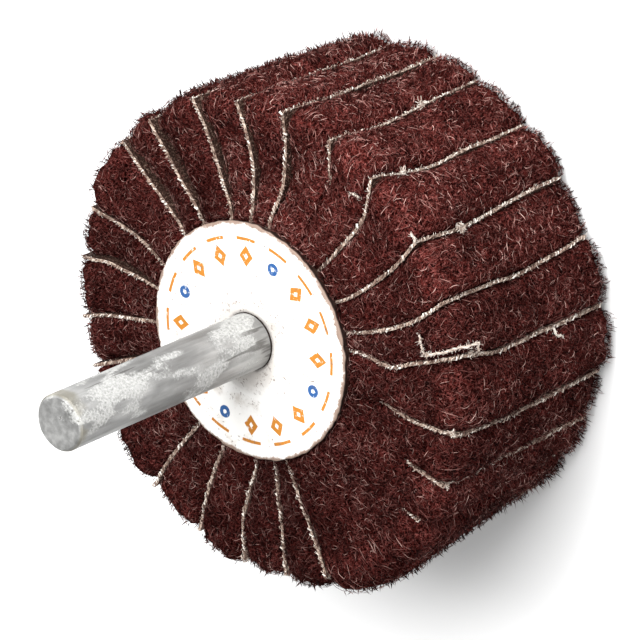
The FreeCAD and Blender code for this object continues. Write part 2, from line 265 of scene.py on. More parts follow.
def veil(flap, radius):
    """How far the web closes over a cloth flap's front edge at a radius: 0 is open and 1 closed."""
    return np.clip((VEILED.get(flap % FLAP_COUNT, 0) - radius) / 3.5, 0, 1)


def fan_reach(angle):
    """How much further than even the fan reaches at an angle in radians."""
    return FAN_SHIFT * np.cos(angle - math.radians(FAN_SHIFT_ANGLE))


def at(radius, angle, height):
    """Points from radii, angles in radians and heights."""
    return np.stack([radius * np.cos(angle), radius * np.sin(angle), height], axis=-1)


def unit(vectors):
    """Vectors scaled to length one."""
    return vectors / np.maximum(np.linalg.norm(vectors, axis=-1, keepdims=True), 1e-9)


def rough(points, size, seed):
    """Smooth noise between about -1 and 1 at each point, with features of a size."""
    shift = Vector((seed * 7.31, seed * 3.17, seed * 5.53))
    flat = points.reshape(-1, 3)
    values = [noise.noise(Vector(point) / size + shift) for point in flat]
    return np.array(values).reshape(points.shape[:-1])


def new_piece(name, points, faces, materials, smooth=True):
    """A mesh object that rides on the wheel. Faces is a list of index arrays, one for each width."""
    mesh = bpy.data.meshes.new(name)
    mesh.vertices.add(len(points))
    mesh.vertices.foreach_set("co", (np.asarray(points) * MILLIMETRE).astype(np.float32).ravel())
    faces = [np.asarray(group, np.int32) for group in faces if len(group)]
    corners = np.concatenate([group.ravel() for group in faces])
    widths = np.concatenate([np.full(len(group), group.shape[1], np.int32) for group in faces])
    mesh.loops.add(len(corners))
    mesh.loops.foreach_set("vertex_index", corners)
    mesh.polygons.add(len(widths))
    mesh.polygons.foreach_set("loop_start", np.concatenate([[0], np.cumsum(widths)[:-1]]).astype(np.int32))
    mesh.polygons.foreach_set("use_smooth", np.full(len(widths), smooth))
    for material in materials:
        mesh.materials.append(material)
    mesh.update(calc_edges=True)
    mesh.validate()
    piece = bpy.data.objects.new(name, mesh)
    bpy.context.scene.collection.objects.link(piece)
    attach(piece, "root")
    return piece


def ring_walls(rings):
    """Four-sided faces between rows of points that each run round a closed ring."""
    after = np.roll(rings, -1, axis=1)
    return np.stack([rings[:-1], after[:-1], after[1:], rings[1:]], axis=-1).reshape(-1, 4)


def face_outwards(piece):
    """Turn every face of a closed mesh outwards."""
    work = bmesh.new()
    work.from_mesh(piece.data)
    bmesh.ops.recalc_face_normals(work, faces=work.faces)
    work.to_mesh(piece.data)
    work.free()


def set_tone(piece, values, name="tone"):
    """Store one shade at each point, which the materials read."""
    attribute = piece.data.attributes.new(name, "FLOAT", "POINT")
    values = np.broadcast_to(values, len(piece.data.vertices))
    attribute.data.foreach_set("value", values.astype(np.float32))


class Nodes:
    """Short calls for building a material's nodes."""

    def __init__(self, name):
        self.material = bpy.data.materials.new(name)
        self.material.use_nodes = True
        self.tree = self.material.node_tree
        self.shader = self.tree.nodes["Principled BSDF"]
        self.place = self.add("ShaderNodeTexCoord").outputs["Object"]

    def add(self, kind, **settings):
        node = self.tree.nodes.new(kind)
        for key, value in settings.items():
            setattr(node, key, value)
        return node

    def join(self, source, socket):
        """Link a socket, or set its value where the source is a plain one."""
        if isinstance(source, bpy.types.NodeSocket):
            self.tree.links.new(source, socket)
        else:
            socket.default_value = source

    def maths(self, operation, first, second=0.0, third=0.0, clamp=False):
        node = self.add("ShaderNodeMath", operation=operation, use_clamp=clamp)
        for socket, source in zip(node.inputs, (first, second, third)):
            self.join(source, socket)
        return node.outputs[0]

    def product(self, first, *others):
        for other in others:
            first = self.maths("MULTIPLY", first, other)
        return first

    def total(self, first, *others):
        for other in others:
            first = self.maths("ADD", first, other)
        return first

    def axes(self):
        """The three coordinates of the place that is shaded, in metres."""
        split = self.add("ShaderNodeSeparateXYZ")
        self.join(self.place, split.inputs[0])
        return [split.outputs[axis] for axis in "XYZ"]

    def length(self, first, second):
        """Length of a line with these two sides."""
        return self.maths("SQRT", self.total(self.product(first, first), self.product(second, second)))

    def step(self, value, low, high):
        """0 below low, 1 above high, and smooth between; low may be the greater."""
        node = self.add("ShaderNodeMapRange", interpolation_type="SMOOTHSTEP")
        self.join(value, node.inputs["Value"])
        self.join(low, node.inputs["From Min"])
        self.join(high, node.inputs["From Max"])
        return node.outputs["Result"]

    def moved(self, shift, stretch):
        node = self.add("ShaderNodeMapping")
        self.join(self.place, node.inputs["Vector"])
        node.inputs["Location"].default_value = shift
        node.inputs["Scale"].default_value = stretch
        return node.outputs["Vector"]

    def noise(self, size, seed=0, detail=2.0, roughness=0.5, stretch=(1, 1, 1), distortion=0.0):
        """Noise with features of a size in millimetres."""
        node = self.add("ShaderNodeTexNoise")
        self.join(self.moved((seed * 0.37, seed * 0.19, seed * 0.53), stretch), node.inputs["Vector"])
        node.inputs["Scale"].default_value = 1 / (size * MILLIMETRE)
        node.inputs["Detail"].default_value = detail
        node.inputs["Roughness"].default_value = roughness
        node.inputs["Distortion"].default_value = distortion
        return node.outputs["Fac"]

    def strands(self, size, width, seed):
        """Thin winding lines, as of crimped fibres: 1 on a line and 0 off it."""
        value = self.noise(size, seed, detail=1.5, roughness=0.6)
        off = self.maths("ABSOLUTE", self.maths("SUBTRACT", value, 0.5))
        return self.step(off, width, 0.0)

    def ramp(self, value, stops):
        """Colour from a value, by (place, colour) stops."""
        node = self.add("ShaderNodeValToRGB")
        self.join(value, node.inputs["Fac"])
        elements = node.color_ramp.elements
        while len(elements) < len(stops):
            elements.new(0.5)
        for element, (place, colour) in zip(elements, stops):
            element.position = place
            element.color = (*colour, 1)
        return node.outputs["Color"]

    def blend(self, share, first, second, mode="MIX"):
        node = self.add("ShaderNodeMix", data_type="RGBA", blend_type=mode)
        self.join(share, node.inputs["Factor"])
        self.join(first if isinstance(first, bpy.types.NodeSocket) else (*first, 1), node.inputs["A"])
        self.join(second if isinstance(second, bpy.types.NodeSocket) else (*second, 1), node.inputs["B"])
        return node.outputs["Result"]

    def tone(self, name="tone"):
        return self.add("ShaderNodeAttribute", attribute_name=name).outputs["Fac"]

    def web_tint_and_painted_light(self):
        """Broad darker patches, each leaf's painted light and shade, and painted shade on the front faces,
        that the web's body and its loose fibres share.
        """
        stops = [(0.36, (0.62, 0.60, 0.60)), (0.64, (1.04, 1.02, 1.02))]
        patches = self.ramp(self.noise(5.5, seed=30, detail=3), stops)
        # Each leaf's painted light and shade, read from its shade, multiplies the patches
        colour = self.blend(1.0, patches, self.tone("shade"), mode="MULTIPLY")
        # Painted shade: the leaves' front faces, inside the rim, are painted darker
        x, y, z = self.axes()
        high = self.step(z, 22 * MILLIMETRE, 25 * MILLIMETRE)
        front = self.product(high, self.step(self.length(x, y), 25.5 * MILLIMETRE, 22.5 * MILLIMETRE))
        return self.blend(front, colour, self.blend(1.0, colour, (0.78, 0.77, 0.77), mode="MULTIPLY"))

    def bump(self, height, depth):
        """Raise the surface by a height of the given depth in millimetres."""
        node = self.add("ShaderNodeBump")
        self.join(height, node.inputs["Height"])
        node.inputs["Distance"].default_value = depth * MILLIMETRE
        self.join(node.outputs["Normal"], self.shader.inputs["Normal"])

    def finish(self, colour, roughness, specular, metallic=0.0):
        self.join(colour, self.shader.inputs["Base Color"])
        self.join(roughness, self.shader.inputs["Roughness"])
        self.join(metallic, self.shader.inputs["Metallic"])
        self.shader.inputs["Specular IOR Level"].default_value = specular
        return self.material


def web_material():
    """Open web below the loose fibres: maroon painted near black as painted shade deep in the web, crossed
    by winding maroon strands painted darker the deeper they lie.
    """
    n = Nodes("web")
    patches = n.noise(4.0, seed=1, detail=3)
    # Painted shade: the ground is painted near black, and the deep strands darker than the high ones, for
    # the shade inside the web
    painted_shade_ground = n.ramp(patches, [(0.3, (0.003, 0.0005, 0.0004)), (0.7, (0.010, 0.0016, 0.0012))])
    deep = n.strands(0.6, 0.09, seed=2)
    middle = n.strands(0.5, 0.08, seed=3)
    high = n.strands(0.42, 0.05, seed=4)
    colour = n.blend(deep, painted_shade_ground, (0.030, 0.005, 0.004))
    colour = n.blend(middle, colour, (0.065, 0.013, 0.011))
    colour = n.blend(high, colour, (0.16, 0.05, 0.044))
    colour = n.blend(1.0, colour, n.web_tint_and_painted_light(), mode="MULTIPLY")
    height = n.maths("MAXIMUM", n.product(deep, 0.4), n.product(middle, 0.7))
    height = n.maths("MAXIMUM", height, high)
    n.bump(height, 0.10)
    return n.finish(colour, 0.8, specular=0.0)


def fibre_material():
    """Nylon fibres from dark maroon to dusty pink; the pale pink end is partly the fibres' own tone and
    partly painted highlight in place of their glints.
    """
    n = Nodes("fibre")
    patches = n.noise(5.0, seed=5)
    tone = n.total(n.tone(), n.product(n.maths("SUBTRACT", patches, 0.5), 0.5))
    # The palest stops are partly painted highlight, standing for the glints on the nylon
    stops = [
        (0.0, (0.008, 0.0010, 0.0008)),
        (0.3, (0.044, 0.0080, 0.0065)),
        (0.6, (0.175, 0.070, 0.061)),
        (1.0, (0.50, 0.33, 0.29)),
    ]
    n.bump(n.noise(0.12, seed=6), 0.02)
    colour = n.blend(1.0, n.ramp(tone, stops), n.web_tint_and_painted_light(), mode="MULTIPLY")
    return n.finish(colour, 0.5, specular=0.03)


def backing_material():
    """Woven cloth, soiled brown with beige patches."""
    n = Nodes("cloth_backing")
    warp = n.add("ShaderNodeTexWave", wave_type="BANDS", bands_direction="Z")
    n.join(n.place, warp.inputs["Vector"])
    warp.inputs["Scale"].default_value = 900
    warp.inputs["Distortion"].default_value = 1.5
    patches = n.noise(0.45, seed=8, detail=4, roughness=0.7)
    stops = [(0.36, (0.045, 0.024, 0.018)), (0.5, (0.15, 0.098, 0.075)), (0.62, (0.40, 0.32, 0.26))]
    colour = n.ramp(patches, stops)
    n.bump(warp.outputs["Fac"], 0.08)
    return n.finish(colour, 0.8, specular=0.2)


def thread_material():
    """Loose cotton threads at the cloth's edges."""
    n = Nodes("cloth_thread")
    soil = n.noise(1.2, seed=9)
    tone = n.total(n.tone(), n.product(n.maths("SUBTRACT", soil, 0.5), 0.6))
    stops = [
        (0.0, (0.10, 0.055, 0.042)),
        (0.3, (0.24, 0.165, 0.13)),
        (0.65, (0.44, 0.365, 0.31)),
        (1.0, (0.66, 0.61, 0.555)),
    ]
    n.bump(n.noise(0.1, seed=10), 0.03)
    return n.finish(n.ramp(tone, stops), 0.75, specular=0.25)


def grit_material():
    """The cloth's coated side: dark brown resin full of grit with a few paler grains."""
    n = Nodes("cloth_grit")
    grains = n.noise(0.22, seed=11, detail=3, roughness=0.7)
    stops = [
        (0.3, (0.008, 0.004, 0.003)),
        (0.5, (0.024, 0.012, 0.009)),
        (0.6, (0.075, 0.042, 0.031)),
        (0.74, (0.30, 0.22, 0.18)),
    ]
    n.bump(grains, 0.12)
    return n.finish(n.ramp(grains, stops), n.step(grains, 0.7, 0.45), specular=0.05)


def card_material():
    """White card, soiled at its rim and greyer round the shank, with a plain ring of printed marks, and
    painted shade, dark brown, where it lies low.
    """
    n = Nodes("label_card")
    x, y, z = n.axes()
    radius = n.maths("DIVIDE", n.length(x, y), MILLIMETRE)
    soil = n.noise(2.2, seed=12, detail=4, roughness=0.65)
    fine = n.noise(0.35, seed=13, detail=3, roughness=0.7)
    colour = n.blend(n.step(soil, 0.48, 0.78), (0.66, 0.65, 0.63), (0.46, 0.425, 0.39))

    # A printed ring of orange lozenges and blue dots, with short orange dashes outside it
    cells = n.product(n.maths("ARCTAN2", y, x), PRINT_COUNT / (2 * math.pi))
    cell = n.maths("FLOOR", cells)
    across = n.product(n.maths("SUBTRACT", n.maths("SUBTRACT", cells, cell), 0.5), PRINT_PITCH)
    across = n.maths("ABSOLUTE", across)
    outward = n.maths("ABSOLUTE", n.maths("SUBTRACT", radius, PRINT_RADIUS))
    lozenge = n.total(n.maths("DIVIDE", across, 0.9), n.maths("DIVIDE", outward, 1.15))
    lozenge = n.product(n.step(lozenge, 1.04, 0.96), n.step(lozenge, 0.26, 0.33))
    reach = n.length(across, outward)
    dot = n.product(n.step(reach, 0.72, 0.65), n.step(reach, 0.20, 0.25))
    dash = n.maths("ABSOLUTE", n.maths("SUBTRACT", radius, PRINT_RADIUS + 1.85))
    dash = n.product(n.step(dash, 0.20, 0.15), n.step(across, 1.05, 1.0))
    blue = n.maths("COMPARE", n.maths("FLOORED_MODULO", cell, 4.0), 1.0, 0.5)
    orange = n.maths("ADD", n.product(lozenge, n.maths("SUBTRACT", 1.0, blue)), dash, clamp=True)
    worn = n.step(fine, 0.30, 0.40)
    colour = n.blend(n.product(orange, worn), colour, (0.36, 0.135, 0.013))
    colour = n.blend(n.product(dot, blue, worn), colour, (0.014, 0.067, 0.20))

    # Greyer round the shank, soil in specks and at the torn rim, darker at the hole, and painted shade
    # where the card lies low
    near = n.total(radius, n.product(soil, 4.0))
    colour = n.blend(n.product(n.step(near, 8.2, 5.8), 0.7), colour, (0.40, 0.37, 0.34))
    dusty = n.maths("MAXIMUM", n.step(soil, 0.46, 0.58), n.step(near, 8.4, 6.4))
    specks = n.product(n.step(fine, 0.58, 0.66), dusty)
    colour = n.blend(n.product(specks, 0.85), colour, (0.13, 0.10, 0.085))
    torn = n.total(n.product(fine, 0.7), n.noise(1.6, seed=24, detail=3))
    colour = n.blend(n.step(n.total(radius, torn), 13.15, 13.5), colour, (0.20, 0.14, 0.11))
    hole = n.total(radius, n.total(n.product(fine, 0.5), n.product(soil, 0.5)))
    colour = n.blend(n.step(hole, 3.58, 3.40), colour, (0.10, 0.085, 0.07))
    # Painted shade: the card is painted dark brown where it lies below its face, on its edge under the rim
    # and a little in the pressed dip round the shank, over the edge's own brown
    below = n.maths("SUBTRACT", LABEL_FRONT * MILLIMETRE, z)
    colour = n.blend(n.step(below, 0.00012, 0.00025), colour, (0.05, 0.03, 0.025))
    n.bump(n.noise(0.25, seed=14, detail=3), 0.02)
    return n.finish(colour, 0.6, specular=0.3)


def steel_material():
    """Dull galvanised steel: smooth grey with draw marks, rough pale bloom, pits and a stained end."""
    n = Nodes("galvanised_steel")
    height = n.maths("DIVIDE", n.axes()[2], MILLIMETRE)
    cloud = n.noise(3.4, seed=15, detail=3, stretch=(1, 1, 0.4), distortion=0.5)
    streaks = n.noise(0.8, seed=16, detail=3, stretch=(1, 1, 0.1))
    grain = n.noise(0.28, seed=17, detail=4, roughness=0.75)
    patch = n.noise(3.0, seed=23, stretch=(1, 1, 0.5))
    mixed = n.total(n.product(cloud, 0.55), n.product(streaks, 0.45))
    stops = [(0.36, (0.15, 0.15, 0.145)), (0.5, (0.24, 0.24, 0.235)), (0.64, (0.37, 0.37, 0.36))]
    colour = n.ramp(mixed, stops)

    # Rough pale bloom with ragged edges, dotted with pits, and dark scuffs
    ragged = n.total(patch, n.product(n.maths("SUBTRACT", grain, 0.5), 0.22))
    bloom = n.step(ragged, 0.52, 0.60)
    stops = [(0.35, (0.22, 0.22, 0.21)), (0.5, (0.34, 0.34, 0.33)), (0.65, (0.45, 0.45, 0.43))]
    colour = n.blend(n.product(bloom, 0.85), colour, n.ramp(grain, stops))
    pits = n.product(n.step(grain, 0.37, 0.33), n.total(0.35, n.product(bloom, 0.65)))
    colour = n.blend(n.product(pits, 0.8), colour, (0.07, 0.065, 0.05))
    scuffs = n.product(n.step(streaks, 0.64, 0.70), n.step(cloud, 0.55, 0.42))
    colour = n.blend(n.product(scuffs, 0.75), colour, (0.07, 0.065, 0.06))

    # Brown stains near the cut end, but not on the end face
    close = n.total(height, n.product(n.maths("SUBTRACT", cloud, 0.5), 7.0))
    stain = n.step(close, SHANK_TOP - 1.6, SHANK_TOP - 0.4)
    stain = n.product(stain, n.step(height, SHANK_TOP - 0.02, SHANK_TOP - 0.25))
    colour = n.blend(n.product(stain, 0.65), colour, (0.15, 0.135, 0.095))
    roughness = n.total(0.42, n.product(bloom, 0.3))
    metallic = n.maths("SUBTRACT", 0.5, n.product(bloom, 0.4))
    n.bump(n.total(n.product(grain, n.total(0.5, bloom)), streaks), 0.05)
    return n.finish(colour, roughness, metallic=metallic, specular=0.4)


def resin_material():
    """Cast brown resin, painted near black towards the label: painted shade under the label's rim."""
    n = Nodes("resin")
    cloud = n.noise(3.0, seed=18, detail=4)
    stops = [(0.3, (0.20, 0.13, 0.075)), (0.7, (0.36, 0.26, 0.16))]
    # Painted shade: the resin just under the label is painted near black
    height = n.total(n.axes()[2], n.product(cloud, 0.0006))
    soiled = n.step(height, (FLAP_FRONT - 0.6) * MILLIMETRE, FLAP_FRONT * MILLIMETRE)
    colour = n.blend(soiled, n.ramp(cloud, stops), (0.035, 0.018, 0.014))
    n.bump(n.noise(0.6, seed=19, detail=3), 0.05)
    return n.finish(colour, 0.5, specular=0.3)


def arc(centre, radius, turns):
    """Points on a circle of the r-z plane at angles in radians."""
    return [(centre[0] + radius * math.cos(turn), centre[1] + radius * math.sin(turn)) for turn in turns]


def web_outline():
    """The leaf's skin from the front of the flange, round the rim, to the rear: radii and heights."""
    slope = math.atan2(FLAP_FRONT - FRONT_CORNER, CLOTH_RADIUS - FLANGE_RADIUS)
    low_slope = math.atan2(FLAP_REAR - REAR_CORNER, CLOTH_RADIUS - FLANGE_RADIUS)
    runs = [[(FLANGE_RADIUS - 0.8, FLAP_FRONT), (FLANGE_RADIUS, FLAP_FRONT)]]
    centre = (CLOTH_RADIUS - WEB_CORNER, FRONT_CORNER + WEB_CORNER * slope - WEB_CORNER)
    turns = np.linspace(math.pi / 2 - slope, 0, 8)
    runs.append(arc(centre, WEB_CORNER, turns))
    centre = (CLOTH_RADIUS - REAR_ROUNDING, REAR_CORNER + REAR_ROUNDING)
    turns = np.linspace(0, -math.pi / 2 - low_slope, 8)
    runs.append(arc(centre, REAR_ROUNDING, turns))
    runs.append([(FLANGE_RADIUS, FLAP_REAR), (FLANGE_RADIUS - 0.8, FLAP_REAR)])
    return np.array([point for run in runs for point in run])


def along(line, step):
    """A line of the r-z plane cut into even steps, with its outward directions."""
    lengths = np.concatenate([[0], np.cumsum(np.linalg.norm(np.diff(line, axis=0), axis=1))])
    places = np.linspace(0, lengths[-1], int(lengths[-1] / step) + 1)
    points = np.stack([np.interp(places, lengths, line[:, i]) for i in (0, 1)], axis=1)
    tangents = unit(np.gradient(points, axis=0))
    return points, np.stack([-tangents[:, 1], tangents[:, 0]], axis=1)


class Skin:
    """The outer skin of one leaf of web, read by a share across it and a place along its outline."""

    step = 0.4
    outline, outward = along(web_outline(), step)
    length = step * (len(outline) - 1)

    def __init__(self, leaf):
        self.leaf = leaf
        self.seed = leaf + 1
        self.random = np.random.default_rng(100 + leaf)
        self.swell = self.random.uniform(0.8, 1.15)
        self.gap = WIDE_GAPS.get(leaf, 0.3)
        self.gap_width = 1.1 if leaf in WIDE_GAPS else 0.5

    def sides(self, radius, height):
        """Angles of the leaf's two side faces at a radius and a height."""
        inset = 0.5 * CLOTH_THICKNESS / np.maximum(radius, 1)
        low = cloth_angle(self.leaf, radius, height) + inset
        high = cloth_angle(self.leaf + 1, radius, height) - inset
        return low, high

    def read(self, share, place):
        """Points of the skin and their outward directions; place runs from 0 to 1."""
        index = np.clip(place, 0, 1) * (len(self.outline) - 1)
        steps = np.arange(len(self.outline))
        radius, height = (np.interp(index, steps, self.outline[:, i]) for i in (0, 1))
        out_r, out_z = (np.interp(index, steps, self.outward[:, i]) for i in (0, 1))
        low, high = self.sides(radius, height)
        width = (high - low) * radius
        angle = low + (high - low) * share
        share = np.clip(share, 0, 1)
        held = np.clip((radius - FLANGE_RADIUS) / 0.5, 0, 1)
        rimward = np.clip(out_r, 0, 1)
        level = np.interp(height, FULLNESS_HEIGHTS, FULLNESS)
        swell = self.swell * (0.15 + width / 7.5) * (0.7 + 0.5 * rimward * level)
        swell = swell + rimward * np.interp(height, [2, 12, 22], REACHES.get(self.leaf, (0, 0, 0)))
        facing = np.clip(3 * out_z, 0, 1)
        low_veil, high_veil = (veil(flap, radius) * facing for flap in (self.leaf, self.leaf + 1))
        open_side = 1 - np.where(share < 0.5, low_veil, high_veil)
        crown = (1 - open_side * np.abs(2 * share - 1) ** 5) * swell
        gap = 0.15 + self.gap * (1 - 0.85 * rimward) * np.clip((radius - FLANGE_RADIUS) / 7, 0.25, 1)
        groove = (1 - low_veil) * 0.15 * np.exp(-share * width / 0.3)
        groove = groove + (1 - high_veil) * gap * np.exp(-(1 - share) * width / self.gap_width)
        radius = radius + fan_reach(angle) * np.clip((radius - FLANGE_RADIUS) / 12, 0, 1)
        points = at(radius, angle, height)
        normals = unit(np.stack([out_r * np.cos(angle), out_r * np.sin(angle), out_z], axis=-1))
        lumps = 0.25 * rough(points, 2.4, self.seed)
        collar = 0.7 * np.exp(-np.maximum(radius - FLANGE_RADIUS, 0) / 1.5) * np.abs(out_z)
        offset = (crown + collar - groove + lumps) * held
        return points + normals * offset[..., None], normals


def web_leaf(leaf, material):
    """The body of one leaf of web: a lumpy closed block between two cloth flaps."""
    skin = Skin(leaf)
    shares = 0.5 - 0.5 * np.cos(np.linspace(0, math.pi, 17))
    places = np.linspace(0, 1, len(skin.outline))
    share, place = np.meshgrid(shares, places, indexing="ij")
    points, normals = skin.read(share, place)
    open_edge = np.exp(-((place - REAR_EDGE) / 0.03) ** 2)
    hollows = 0.3 * rough(points, 0.6, skin.seed + 50) + skin.random.uniform(-0.2, 0.2, share.shape)
    hollows = hollows - WEB_DEPTH - 0.25 * open_edge
    points = points + normals * hollows[..., None]
    points[..., 2] = np.maximum(points[..., 2], LEAST_HEIGHT)
    root = np.array([
        (NOTCH_RADIUS, FLAP_REAR),
        (NOTCH_RADIUS, FLAP_REAR + NOTCH_DEPTH),
        (CORE_RADIUS + 0.02, FLAP_REAR + NOTCH_DEPTH),
        (CORE_RADIUS + 0.02, FLAP_FRONT - NOTCH_DEPTH),
        (NOTCH_RADIUS, FLAP_FRONT - NOTCH_DEPTH),
        (NOTCH_RADIUS, FLAP_FRONT),
    ])
    low, high = skin.sides(root[:, 0], root[:, 1])
    angle = low + (high - low) * shares[:, None]
    inner = at(np.broadcast_to(root[:, 0], angle.shape), angle, np.broadcast_to(root[:, 1], angle.shape))
    loops = np.concatenate([points, inner], axis=1)
    count, around = loops.shape[:2]
    rings = np.arange(count * around).reshape(count, around)
    walls = ring_walls(rings)
    points = loops.reshape(-1, 3)
    faces_wide, faces_three = [walls], []
    middle_radius, middle_height = 17.0, 13.0
    for side in (0, -1):
        loop = loops[side]
        radius = np.hypot(loop[:, 0], loop[:, 1])
        ring = rings[side]
        for shrink in (0.62, 0.28):
            r = middle_radius + (radius - middle_radius) * shrink
            z = middle_height + (loop[:, 2] - middle_height) * shrink
            start = len(points)
            points = np.concatenate([points, at(r, skin.sides(r, z)[side], z)])
            inside = np.arange(start, start + around)
            faces_wide.append(np.stack([ring, np.roll(ring, -1), np.roll(inside, -1), inside], axis=-1))
            ring = inside
        centre = at(middle_radius, skin.sides(np.array(middle_radius), middle_height)[side], middle_height)
        points = np.concatenate([points, centre[None]])
        hub = np.full(around, len(points) - 1)
        faces_three.append(np.stack([ring, np.roll(ring, -1), hub], axis=-1))
    name = "nonwoven_leaf_%02d" % (leaf + 1)
    faces = [np.concatenate(faces_wide), np.concatenate(faces_three)]
    piece = new_piece(name, points, faces, [material])
    face_outwards(piece)
    # The leaf's painted light and shade, stored as the shade that the web's material reads
    set_tone(piece, LEAF_PAINTED_LIGHT[leaf], "shade")
    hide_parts("nonwoven_flap_%02d" % (leaf + 1))


def turned(vectors, axes, angles):
    """Vectors turned about axes by angles in radians."""
    cosine, sine = np.cos(angles)[:, None], np.sin(angles)[:, None]
    along_axis = axes * (vectors * axes).sum(1, keepdims=True) * (1 - cosine)
    return vectors * cosine + np.cross(axes, vectors) * sine + along_axis


def curled_lines(roots, normals, lengths, rise, curl, random, points=5):
    """Centre lines of loose hairs that rise off an edge and curl."""
    count = len(roots)
    heading = unit(np.cross(normals, random.normal(size=(count, 3))))
    heading = unit(heading * np.cos(rise)[:, None] + normals * np.sin(rise)[:, None])
    lines = [roots]
    for _ in range(points - 1):
        lines.append(lines[-1] + heading * (lengths / (points - 1))[:, None])
        heading = turned(heading, normals, curl)
    return np.stack(lines, axis=1)


def strand_mesh(lines, radii, tones, random):
    """Closed three-sided strands with pointed ends, along lines of points."""
    count, length = lines.shape[:2]
    tangents = unit(np.gradient(lines, axis=1))
    sideways = unit(np.cross(tangents, unit(random.normal(size=(count, 1, 3)))))
    upward = np.cross(tangents, sideways)
    inner = slice(1, length - 1)
    rings = []
    for corner in range(3):
        turn = 2 * math.pi * corner / 3
        direction = sideways[:, inner] * math.cos(turn) + upward[:, inner] * math.sin(turn)
        rings.append(lines[:, inner] + direction * radii[:, None, None])
    body = np.stack(rings, axis=2).reshape(count, -1, 3)
    points = np.concatenate([lines[:, :1], body, lines[:, -1:]], axis=1)
    each = points.shape[1]
    faces = []
    for corner in range(3):
        following = (corner + 1) % 3
        faces.append((0, 1 + following, 1 + corner))
        for ring in range(length - 3):
            a = 1 + 3 * ring + corner
            b = 1 + 3 * ring + following
            faces.append((a, b, b + 3))
            faces.append((a, b + 3, a + 3))
        last = 1 + 3 * (length - 3)
        faces.append((last + corner, last + following, each - 1))
    faces = np.array(faces)[None] + each * np.arange(count)[:, None, None]
    return points.reshape(-1, 3), faces.reshape(-1, 3), np.repeat(tones, each)


def joined_strands(groups):
    """Several strand meshes as one."""
    points, faces, tones = [], [], []
    start = 0
    for group_points, group_faces, group_tones in groups:
        points.append(group_points)
        faces.append(group_faces + start)
        tones.append(group_tones)
        start += len(group_points)
    return np.concatenate(points), np.concatenate(faces), np.concatenate(tones)


def web_fibres(leaf, material):
    """Loose crimped fibres over the skin of one leaf."""
    skin = Skin(leaf)
    random = skin.random
    groups = []
    for layer in FIBRE_LAYERS:
        count, points = layer["count"], layer["points"]
        place = random.uniform(*layer["stretch"], count)
        index = place * (len(skin.outline) - 1)
        radius, level = (np.interp(index, np.arange(len(skin.outline)), skin.outline[:, i]) for i in (0, 1))
        low, high = skin.sides(radius, level)
        width = (high - low) * radius
        steps = np.arange(points) / (points - 1)
        lengths = random.uniform(0.4, 1, count) * layer["length"]
        curl = random.normal(0, 0.5, count) * points
        heading = random.uniform(0, 2 * math.pi, count)[:, None] + curl[:, None] * steps
        pace = lengths[:, None] / (points - 1)
        across = np.cumsum(np.cos(heading) * pace, axis=1) - lengths[:, None] / 2 * np.cos(heading[:, :1])
        upward = np.cumsum(np.sin(heading) * pace, axis=1) - lengths[:, None] / 2 * np.sin(heading[:, :1])
        share = random.uniform(0.0, 1.0, count)[:, None] + across / width[:, None]
        lines, normals = skin.read(share, place[:, None] + upward / skin.length)
        depth = random.uniform(*layer["depth"], count)
        arch = 4 * steps * (1 - steps) * random.uniform(0.2, 1, count)[:, None] * layer["arch"]
        lean = steps * random.uniform(0.3, 1, count)[:, None] * layer["loft"]
        lines = lines + normals * (depth[:, None] + arch + lean)[..., None]
        lines[..., 2] = np.maximum(lines[..., 2], LEAST_HEIGHT)
        darkest, palest = layer["shade"]
        shades = darkest + (palest - darkest) * random.beta(1.3, 2.2, count)
        # Painted shade: fibres set deeper into the skin are painted darker
        tones = np.clip(shades + 0.3 * np.minimum(depth + 0.1, 0), 0, 1)
        radii = layer["radius"] * random.uniform(0.7, 1.25, count)
        groups.append(strand_mesh(lines, radii, tones, random))
    points, faces, tones = joined_strands(groups)
    piece = new_piece("nonwoven_fibres_%02d" % (leaf + 1), points, [faces], [material])
    set_tone(piece, tones)
    # The leaf's painted light and shade, stored as the shade that the fibre material reads
    set_tone(piece, LEAF_PAINTED_LIGHT[leaf], "shade")


def cloth_front(flap, radius):
    """Height of a cloth flap's front edge at a radius; it lies lower where the web hides it."""
    return FLAP_FRONT + (FRONT_CORNER - FLAP_FRONT) * free_share(radius) - 1.1 * veil(flap, radius)


def cloth_rear(radius):
    """Height of a cloth flap's rear edge at a radius."""
    return FLAP_REAR + 0.6 * free_share(radius) ** 6


def cloth_tip(flap):
    """Radius of a cloth flap's outer edge."""
    reach = float(fan_reach(cloth_angle(flap, CLOTH_RADIUS, FRONT_CORNER)))
    return CLOTH_RADIUS + 0.2 + reach - CLOTH_WEAR.get(flap, 0)


def cloth_normal(flap, radius, height):
    """Direction square to a cloth flap's face at a radius and a height, towards greater angles."""
    step = 0.05
    ahead = at(radius + step, cloth_angle(flap, radius + step, height), 0 * radius)
    behind = at(radius - step, cloth_angle(flap, radius - step, height), 0 * radius)
    run = unit(ahead - behind)
    return np.stack([-run[..., 1], run[..., 0], 0 * radius], axis=-1)


def waved(flap, points, radius, normal):
    """Points of a cloth flap moved by the slight waves of its free part."""
    free = np.clip((radius - FLANGE_RADIUS) / 4, 0, 1)
    wave = 0.12 * rough(points, 3.0, flap + 200) * free
    return points + normal * wave[..., None]


